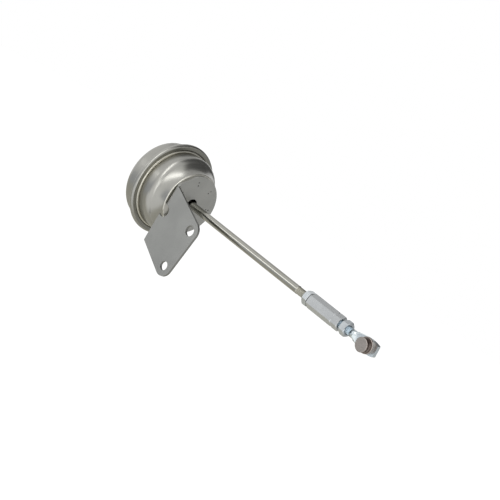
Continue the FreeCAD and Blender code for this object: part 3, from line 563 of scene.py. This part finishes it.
def sheet_steel():
    """Even satin faces, a darker cut edge, and painted shade in the weld dimples."""
    f = Finish("bracket_sheet")
    across_x, across_y, _ = f.normal()
    on_tab = f.y.under(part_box("bracket")[0].y + TAB_DEPTH)
    face = across_x.abs() * (1 - on_tab) + across_y.abs() * on_tab
    edge = face.under(EDGE_FACING)
    dimple_shade = f.x.under(DISC_FRONT - DIMPLE_DEPTH) * across_x.over(0.5)
    cloud = f.noise(f.place, 55.0, 3.0, 0.55)
    speck = f.noise(f.place, 1500.0, 2.0, 0.6)
    tone = f.mix(cloud.smooth(0.3, 0.7), (0.35, 0.352, 0.336), (0.39, 0.392, 0.373))
    tone = f.mix(speck.smooth(0.5, 0.8) * 0.35, tone, (0.29, 0.292, 0.28))
    edge_tone = f.mix(on_tab, (0.34, 0.338, 0.32), (0.20, 0.20, 0.19))
    tone = f.mix(edge * 0.7, tone, edge_tone)
    # Painted shade: the weld dimples are painted nearly black.
    tone = f.mix(dimple_shade, tone, (0.05, 0.05, 0.048))
    rough = 0.40 + speck * 0.08 + edge * 0.08
    relief = f.bump(speck + cloud * 0.3, 0.008, 0.5)
    return f.finish(tone, rough, relief)


dress(sheet_steel(), "bracket")

# %% [markdown]
# The rod is bright drawn bar, the most mirror-like piece, and its scratches run along it, not
# round it. Noise does that when it is stretched a hundred times along the axis. The dies that
# roll the thread leave it duller, so the bar changes tone where it steps down, and the ridges of
# the two threads have a plainer finish of their own.

# %% Bright bar
ALONG_SCALE, ACROSS_SCALE = 25.0, 2500.0
BAR_END = 170.1 * MM


def bright_bar():
    """Drawn bar, with marks along its length and a warm tint."""
    f = Finish("bright_bar")
    stretched = f.vector(f.x * ALONG_SCALE, f.y * ACROSS_SCALE, f.z * ACROSS_SCALE)
    marks = f.noise(stretched, 1.0, 2.0, 0.6)
    stain = f.noise(f.place, 60.0, 3.0, 0.6)
    cut = f.x.over(BAR_END)
    tone = f.mix(stain.smooth(0.35, 0.75), (0.39, 0.386, 0.352), (0.35, 0.345, 0.31))
    tone = f.mix(marks.smooth(0.5, 0.8) * 0.12, tone, (0.30, 0.295, 0.26))
    tone = f.mix(cut, tone, (0.42, 0.41, 0.355))
    rough = 0.11 + marks * 0.03 + cut * 0.4
    return f.finish(tone, rough, f.bump(marks, 0.0003, 0.2))


def rolled_thread(name, tone_low, tone_high):
    """A thread's ridge, a little rougher than its bar."""
    f = Finish(name)
    stain = f.noise(f.place, 160.0, 2.0, 0.5)
    tone = f.mix(stain.smooth(0.3, 0.7), tone_low, tone_high)
    return f.finish(tone, 0.52 + stain * 0.08, f.bump(stain, 0.003, 0.3))


BAR = bright_bar()
ROD_RIDGE = rolled_thread("rod_ridge", (0.42, 0.41, 0.355), (0.37, 0.36, 0.305))
SHANK_RIDGE = rolled_thread("shank_ridge", (0.57, 0.67, 0.74), (0.52, 0.62, 0.69))
print("made", BAR.name, ROD_RIDGE.name, "and", SHANK_RIDGE.name, "for the threaded pieces")

# %% [markdown]
# The nuts and the sleeve are cut from hexagon bar, the rod end is forged, and all are zinc
# plated. Zinc is bluish, and its fine crystals sparkle: they are the cells of a Voronoi texture,
# each with a brightness of its own. One function gives the three pieces their shades. It also
# darkens the joint between the rear nut and the sleeve, where light hardly reaches, and dulls
# the thread of the rod end.

# %% Zinc plating
CRYSTAL_SCALE = 2400.0
CELL_COLOUR = 1
JOINT_FADE = (0.15 * MM, 0.55 * MM)
SHANK_FRONT = 225.15 * MM
SHANK_RADIUS = 2.75 * MM


def zinc(name, tone_low, tone_high, rough_base):
    """Zinc plate: cool, finely speckled."""
    f = Finish(name)
    crystals = f.node(
        "ShaderNodeTexVoronoi", {"feature": "F1"}, Vector=f.place, Scale=CRYSTAL_SCALE,
        output=CELL_COLOUR,
    )
    spot = f.node("ShaderNodeSeparateColor", {}, crystals)
    cloud = f.noise(f.place, 130.0, 3.0, 0.6)
    stain = f.noise(f.place, 420.0, 2.0, 0.6)
    joint = 1 - (f.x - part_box("adjuster_sleeve")[0].x).abs().smooth(*JOINT_FADE)
    radius, _, _ = round_axis(f)
    cut = f.x.under(SHANK_FRONT) * radius.under(SHANK_RADIUS)
    tone = f.mix(cloud.smooth(0.3, 0.7), tone_low, tone_high)
    tone = f.mix(spot * 0.10, tone, (0.62, 0.65, 0.67))
    tone = f.mix(stain.smooth(0.6, 0.8) * 0.12, tone, (0.34, 0.34, 0.32))
    tone = f.mix(joint * 0.8, tone, (0.10, 0.10, 0.10))
    tone = f.mix(cut, tone, (0.57, 0.67, 0.74))
    rough = rough_base + spot * 0.05 + stain * 0.05 + cut * 0.35
    return f.finish(tone, rough, f.bump(spot * 0.3 + stain, 0.003, 0.3))


FORGED = zinc("zinc_forging", (0.61, 0.67, 0.69), (0.69, 0.75, 0.77), 0.18)
dress(zinc("zinc_plate", (0.475, 0.49, 0.495), (0.525, 0.54, 0.545), 0.20), "adjuster_sleeve")
dress(
    zinc("zinc_nut", (0.49, 0.52, 0.54), (0.55, 0.58, 0.60), 0.16),
    "rear_jam_nut", "front_jam_nut",
)

# %% [markdown]
# The pivot pin is turned and left bare, so it has browned with handling. Its face keeps the
# lathe's rings round its own axis, which is rolled about the rod with the eye, so the finish
# works out the place along that axis first, and the radius from it.

# %% Turned pin
EYE_ROLL = math.radians(7.0)
LATHE_SCALE = 3000.0
PIN_BARREL = (2.8 * MM, 3.2 * MM)
PIN_FACE = (7.4 * MM, 7.7 * MM)


def turned_pin():
    """Bare turned steel with rings on its face and brown oxide in the groove."""
    f = Finish("turned_pin")
    low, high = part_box("pivot_pin")
    middle_x = (low.x + high.x) / 2
    along = f.y * -math.cos(EYE_ROLL) + f.z * -math.sin(EYE_ROLL)
    side = f.z * math.cos(EYE_ROLL) + f.y * -math.sin(EYE_ROLL)
    radius = ((f.x - middle_x) * (f.x - middle_x) + side * side).sqrt()
    lathe = f.noise(f.vector(radius * LATHE_SCALE, along * LATHE_SCALE, 0.0), 1.0, 2.0, 0.6)
    stain = f.noise(f.place, 320.0, 3.0, 0.6)
    face = along.smooth(*PIN_FACE)
    barrel = along.smooth(*PIN_BARREL) * (1 - face)
    tone = f.mix(stain.smooth(0.3, 0.7), (0.345, 0.315, 0.292), (0.29, 0.26, 0.24))
    tone = f.mix(barrel * 0.75, tone, (0.15, 0.105, 0.085))
    tone = f.mix(face * 0.6, tone, (0.385, 0.36, 0.335))
    tone = f.mix(lathe.smooth(0.5, 0.8) * 0.3, tone, (0.18, 0.16, 0.145))
    rough = 0.36 + lathe * 0.12 + stain * 0.08
    return f.finish(tone, rough, f.bump(lathe, 0.008, 0.6))


dress(turned_pin(), "pivot_pin")

# %% [markdown]
# The port at the back and the pieces inside could keep plain colours, but whoever turns the
# canister round or takes it apart sees them, so they are finished too: dull steel, oil-tempered
# wire, and rubber moulded over a fabric, whose weave is two crossed sine waves.

# %% Finishes out of sight
WEAVE_SCALE = 6000.0


def pressed_steel():
    """Plain pressed sheet, duller than the outside."""
    f = Finish("pressed_steel")
    cloud = f.noise(f.place, 70.0, 3.0, 0.6)
    speck = f.noise(f.place, 1400.0, 2.0, 0.6)
    tone = f.mix(cloud, (0.36, 0.36, 0.34), (0.46, 0.46, 0.44))
    return f.finish(tone, 0.42 + speck * 0.12, f.bump(speck, 0.006, 0.5))


def spring_wire():
    """Oil-tempered wire."""
    f = Finish("spring_wire")
    stain = f.noise(f.place, 210.0, 3.0, 0.6)
    tone = f.mix(stain, (0.13, 0.13, 0.14), (0.22, 0.21, 0.20))
    return f.finish(tone, 0.35 + stain * 0.15, f.bump(stain, 0.01, 0.4))


def cloth_rubber():
    """Rubber moulded over a fabric, whose weave just shows."""
    f = Finish("cloth_rubber")
    weave = (f.y * WEAVE_SCALE).wave() * (f.z * WEAVE_SCALE).wave()
    stain = f.noise(f.place, 90.0, 3.0, 0.6)
    tone = f.mix(stain, (0.025, 0.025, 0.025), (0.05, 0.05, 0.048))
    return f.finish(tone, 0.6 + stain * 0.15, f.bump(weave, 0.03, 0.5), metallic=0.0)


dress(
    pressed_steel(),
    "pressure_port", "piston_cup", "retainer_plate", "rod_washer", "spring_seat",
)

# %% [markdown]
# The cover's long highlights follow its rounds, so the facets of a coarse mesh would show in
# them. Subdivision would soften the real edges too, so the cover is turned here from its own
# half section, fine enough to look smooth.

# %% Turning a section
COVER_TURNS = 256
ARC_STEP = 4.0
SHARP_ANGLE = math.radians(24)


def arc(centre, radius, first, last):
    """Points of an arc in the half section; an angle is from straight out towards +X."""
    steps = max(2, round(abs(last - first) / ARC_STEP))
    angles = [math.radians(first + (last - first) * i / steps) for i in range(steps + 1)]
    return [(centre[0] + radius * math.sin(a), centre[1] + radius * math.cos(a)) for a in angles]


def shade(mesh):
    """Smooth, except at the real edges."""
    mesh.shade_smooth()
    mesh.set_sharp_from_angle(angle=SHARP_ANGLE)


def turned_mesh(name, section, turns):
    """Turns a closed half section about the X axis."""
    work = bmesh.new()
    rings = []
    for i in range(turns):
        angle = 2 * math.pi * i / turns
        ring = [
            work.verts.new((x * MM, r * MM * math.cos(angle), r * MM * math.sin(angle)))
            for x, r in section
        ]
        rings.append(ring)
    for i, ring in enumerate(rings):
        after = rings[(i + 1) % turns]
        for j in range(len(section)):
            k = (j + 1) % len(section)
            work.faces.new((ring[j], after[j], after[k], ring[k]))
    bmesh.ops.recalc_face_normals(work, faces=work.faces)
    mesh = bpy.data.meshes.new(name)
    work.to_mesh(mesh)
    work.free()
    shade(mesh)
    return mesh


# %% [markdown]
# The section goes out along the front and back along the inside, in millimetres along the axis
# and from it. A small bead stands where the wall meets the flange. The shoulder bends a little
# past the slope of the neck, and a fillet brings it back, which draws the bright line and the
# thin dark one beside it. A plain round would show only one broad band.

# %% Cover
FLANGE_REAR, LIP_FACE, FLANGE_EDGE = 18.2, 19.2, 35.8
BEAD_CENTRE, BEAD = (19.2, 31.8), 1.2
SHOULDER_CENTRE, SHOULDER = (28.2, 26.6), 5.2
FILLET_CENTRE, FILLET = (34.56, 29.98), 2.0
NECK_CENTRE, NECK = (45.6, 42.24), 18.5
END_CENTRE, END_BEND = (41.4, 23.42), 0.8
FLAT_END, ROD_HOLE, SHEET, CORNER = 42.2, 5.0, 1.0, 0.2
SHOULDER_TURN = 62
FILLET_FROM, FILLET_TO = 242, 222
NECK_TO, END_FROM = 192.8, 12.8


def cover_section():
    """The cover's half section, out along its front and back along its inside."""
    outside = [(FLANGE_REAR, FLANGE_EDGE), (LIP_FACE, FLANGE_EDGE)]
    outside += arc(BEAD_CENTRE, BEAD, 0, 90)
    outside += arc(SHOULDER_CENTRE, SHOULDER, 0, SHOULDER_TURN)
    outside += arc(FILLET_CENTRE, FILLET, FILLET_FROM, FILLET_TO)[1:]
    outside += arc(NECK_CENTRE, NECK, FILLET_TO, NECK_TO)[1:]
    outside += arc(END_CENTRE, END_BEND, END_FROM, 90)
    hole = [(FLAT_END, ROD_HOLE), (FLAT_END - SHEET, ROD_HOLE)]
    inside = [(FLAT_END - SHEET, END_CENTRE[1] - CORNER)]
    inside += arc(NECK_CENTRE, NECK + SHEET, NECK_TO, FILLET_TO)
    inside += arc(FILLET_CENTRE, FILLET + SHEET, FILLET_TO, FILLET_FROM)[1:]
    inside += arc(SHOULDER_CENTRE, SHOULDER - SHEET, SHOULDER_TURN, 0)[1:]
    inside += arc(BEAD_CENTRE, SHEET, 180, 270)
    return outside + hole + inside


section = cover_section()
cover = add_object("cover_shell", turned_mesh("cover_shell", section, COVER_TURNS))
cover.data.materials.append(STEEL)
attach(cover, "canister")
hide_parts("front_cover")
print("cover section", len(section), "points,", len(cover.data.polygons), "faces")

# %% [markdown]
# The threads are plain cylinders in the solids, so the rod and the rod end are copied here, and
# their threaded stretches are drawn in to the root of the thread. A solid comes as loose
# triangles, so a copy has its doubles merged before anything else. A long bar is also cut across
# at some places: its faces run its whole length, and without the cuts the shading of the step at
# the thread would spread over all of it.

# %% Copies of the solids
MERGE_GAP = 0.002 * MM
THREAD_CREST = 2.8 * MM
THREAD_ROOT = 2.46 * MM
JUST_OVER = 1.01


def copy_of(name, piece_name, material, cuts=()):
    """A merged copy of a solid's mesh, cut across at some places along X."""
    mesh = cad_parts[name].data.copy()
    mesh.name = piece_name
    work = bmesh.new()
    work.from_mesh(mesh)
    bmesh.ops.remove_doubles(work, verts=work.verts, dist=MERGE_GAP)
    for x in cuts:
        everything = work.verts[:] + work.edges[:] + work.faces[:]
        bmesh.ops.bisect_plane(work, geom=everything, plane_co=(x, 0, 0), plane_no=(1, 0, 0))
    work.to_mesh(mesh)
    work.free()
    shade(mesh)
    mesh.materials.clear()
    mesh.materials.append(material)
    print(piece_name, "has", len(mesh.polygons), "faces")
    return add_object(piece_name, mesh)


def draw_in(piece, start, end, radius):
    """Pulls a stretch of a round bar in to a smaller radius."""
    moved = 0
    for vertex in piece.data.vertices:
        x, y, z = vertex.co
        now = math.hypot(y, z)
        if start <= x <= end and radius < now < THREAD_CREST * JUST_OVER:
            vertex.co = (x, y * radius / now, z * radius / now)
            moved += 1
    piece.data.update()
    print(piece.name, "drawn in at", moved, "points")


# %% [markdown]
# Geometry Nodes suit what follows a rule along a path, and a thread does. A tree could be drawn
# by hand. It is built here by a small class, like the one for finishes, which gives the tree its
# named inputs and adds a node with its values in one line.

# %% Trees of geometry


class Tree:
    """A Geometry Nodes tree with named inputs, built node by node."""

    def __init__(self, name, inputs):
        self.group = bpy.data.node_groups.new(name, "GeometryNodeTree")
        face = self.group.interface
        self.sockets = {}
        for label, kind, value in inputs:
            item = face.new_socket(name=label, in_out="INPUT", socket_type=kind)
            if value is not None:
                item.default_value = value
            self.sockets[label] = item.identifier
        face.new_socket(name="Geometry", in_out="OUTPUT", socket_type="NodeSocketGeometry")
        self.start = self.group.nodes.new("NodeGroupInput")
        self.end = self.group.nodes.new("NodeGroupOutput")

    def given(self, label):
        return self.start.outputs[label]

    def connect(self, value, target):
        """Links a socket to the target, or sets a constant on it."""
        if isinstance(value, bpy.types.NodeSocket):
            self.group.links.new(value, target)
        else:
            target.default_value = value

    def add(self, kind, settings=None, **values):
        """Any node; in a socket's name _ stands for a space."""
        node = self.group.nodes.new(kind)
        for key, value in (settings or {}).items():
            setattr(node, key, value)
        for key, value in values.items():
            self.connect(value, node.inputs[key.replace("_", " ")])
        return node

    def maths(self, operation, first, second):
        """A Math node's result from two links or numbers."""
        node = self.group.nodes.new("ShaderNodeMath")
        node.operation = operation
        for target, value in zip(node.inputs, (first, second)):
            self.connect(value, target)
        return node.outputs[0]


# %% [markdown]
# A thread is one ridge that climbs round the bar a millimetre a turn. A spiral carries a small
# trapezium, half of it sunk in the bar, and its size fades at both ends as a rolled thread runs
# out. The rod's thread is right-handed and the rod end's is left-handed, so turning the sleeve
# pulls both in at once. A reversed spiral is the right-handed one, and the trapezium turns round
# with it, so that its narrow side always looks outwards.

# %% Thread ridge
THREAD_PITCH = 1.0 * MM
POINTS_A_TURN = 40
FADE_RATE = 1.5
RIDGE_FOOT, RIDGE_TOP = 1.35, 0.25


def thread_tree():
    """A ridge along +X from Start, wound on a bar."""
    tree = Tree("thread_ridge", [
        ("Start", "NodeSocketFloat", 0.0),
        ("Turns", "NodeSocketFloat", 10.0),
        ("Pitch", "NodeSocketFloat", THREAD_PITCH),
        ("Root Radius", "NodeSocketFloat", THREAD_ROOT),
        ("Ridge Height", "NodeSocketFloat", THREAD_CREST - THREAD_ROOT),
        ("Left Hand", "NodeSocketBool", False),
        ("Material", "NodeSocketMaterial", None),
    ])
    turns, pitch, left = tree.given("Turns"), tree.given("Pitch"), tree.given("Left Hand")
    spiral = tree.add(
        "GeometryNodeCurveSpiral", Resolution=POINTS_A_TURN, Rotations=turns,
        Start_Radius=tree.given("Root Radius"), End_Radius=tree.given("Root Radius"),
        Height=tree.maths("MULTIPLY", turns, pitch), Reverse=tree.maths("LESS_THAN", left, 0.5),
    )
    upright = tree.add(
        "GeometryNodeSetCurveNormal", {"mode": "Z_UP"}, Curve=spiral.outputs["Curve"]
    )
    along = tree.add("GeometryNodeSplineParameter").outputs["Factor"]
    nearest = tree.maths("MINIMUM", along, tree.maths("SUBTRACT", 1.0, along))
    ends = tree.maths("MULTIPLY", nearest, tree.maths("MULTIPLY", turns, FADE_RATE))
    fade = tree.maths("MINIMUM", ends, 1.0)
    section = tree.add(
        "GeometryNodeCurvePrimitiveQuadrilateral", {"mode": "TRAPEZOID"},
        Height=tree.maths("MULTIPLY", tree.given("Ridge Height"), 2.0),
        Bottom_Width=tree.maths("MULTIPLY", pitch, RIDGE_FOOT),
        Top_Width=tree.maths("MULTIPLY", pitch, RIDGE_TOP), Offset=0.0,
    )
    side = tree.maths("SUBTRACT", tree.maths("MULTIPLY", left, math.pi), math.pi / 2)
    outwards = tree.add(
        "GeometryNodeTransform", Geometry=section.outputs["Curve"],
        Rotation=tree.add("ShaderNodeCombineXYZ", Z=side).outputs[0],
    )
    ridge = tree.add(
        "GeometryNodeCurveToMesh", Curve=upright.outputs["Curve"],
        Profile_Curve=outwards.outputs["Geometry"], Scale=fade, Fill_Caps=True,
    )
    place = tree.add("ShaderNodeCombineXYZ", X=tree.given("Start"))
    laid = tree.add(
        "GeometryNodeTransform", Geometry=ridge.outputs["Mesh"],
        Translation=place.outputs[0], Rotation=Euler((0.0, math.pi / 2, 0.0)),
    )
    real = tree.add("GeometryNodeRealizeInstances", Geometry=laid.outputs["Geometry"])
    painted = tree.add(
        "GeometryNodeSetMaterial", Geometry=real.outputs["Geometry"],
        Material=tree.given("Material"),
    )
    tree.group.links.new(painted.outputs["Geometry"], tree.end.inputs["Geometry"])
    return tree


THREAD = thread_tree()
print("thread tree of", len(THREAD.group.nodes), "nodes")

# %% [markdown]
# The tree runs once for each thread. Its result could stay a modifier, but a plain mesh rides on
# a body as any other piece does, so it becomes one. The volume that it encloses is printed,
# because it comes out negative where the faces look inwards.

# %% Threads as meshes


def add_thread(name, start, end, left_hand, material):
    """One ridge between two places along the bar, as a plain mesh."""
    piece = add_object(name, bpy.data.meshes.new(name + "_empty"))
    modifier = piece.modifiers.new("thread", "NODES")
    modifier.node_group = THREAD.group
    sizes = {
        "Start": start, "Turns": (end - start) / THREAD_PITCH, "Left Hand": left_hand,
        "Material": material,
    }
    for label, value in sizes.items():
        modifier[THREAD.sockets[label]] = value
    graph = bpy.context.evaluated_depsgraph_get()
    mesh = bpy.data.meshes.new_from_object(piece.evaluated_get(graph))
    mesh.name = name
    piece.modifiers.remove(modifier)
    piece.data = mesh
    work = bmesh.new()
    work.from_mesh(mesh)
    bmesh.ops.recalc_face_normals(work, faces=work.faces)
    volume = work.calc_volume(signed=True) / MM ** 3
    work.to_mesh(mesh)
    work.free()
    shade(mesh)
    reach = [math.hypot(v.co.y, v.co.z) / MM for v in mesh.vertices]
    print(name, "has", len(mesh.polygons), "faces and", round(volume, 1), "cubic millimetres,")
    print("  from radius", round(min(reach), 2), "to", round(max(reach), 2))
    return piece


# %% [markdown]
# The rod and the rod end take their copies with cut threads. Cutting a groove with a boolean
# would be slow and leave slivers, so each is a drawn-in bar with a ridge laid on it. Both ride
# on the body of the solid that they stand for.

# %% Threaded pieces
ROD_THREAD = (170.3 * MM, 195.2 * MM)
SHANK_THREAD = (198.3 * MM, 225.1 * MM)
RUN_IN, RUN_OUT = 0.2 * MM, 0.3 * MM
BAR_CUTS = [x * MM for x in (*range(46, 168, 6), 169.0, 169.9)]


def add_threaded(name, body, materials, stretch, left_hand, cuts=()):
    """A bar with its thread, in place of the plain solid."""
    bar = copy_of(name, name + "_bar", materials[0], cuts)
    draw_in(bar, stretch[0] - RUN_IN, stretch[1] + RUN_OUT, THREAD_ROOT)
    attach(bar, body)
    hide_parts(name)
    ridge = add_thread(name + "_thread", stretch[0], stretch[1], left_hand, materials[1])
    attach(ridge, body)


add_threaded("rod", "push_rod", (BAR, ROD_RIDGE), ROD_THREAD, False, BAR_CUTS)
add_threaded("rod_end", "eye", (FORGED, SHANK_RIDGE), SHANK_THREAD, True)

# %% [markdown]
# Two pieces change shape as the rod strokes. The spring is squeezed towards its seat. The
# diaphragm's bead stays in the rim while its head goes with the piston, so its wall bends
# between the two bodies. Both could be simulated, but they are hidden, so each is only copied
# here: the spring rides on the canister, and the diaphragm's place is baked into its mesh.


def add_soft(name, material):
    """A merged copy of a solid, in place of the solid, which is hidden."""
    piece = copy_of(name, name + "_soft", material)
    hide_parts(name)
    return piece


spring = add_soft("return_spring", spring_wire())
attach(spring, "canister")
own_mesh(spring)
diaphragm = add_soft("diaphragm", cloth_rubber())
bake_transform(diaphragm)
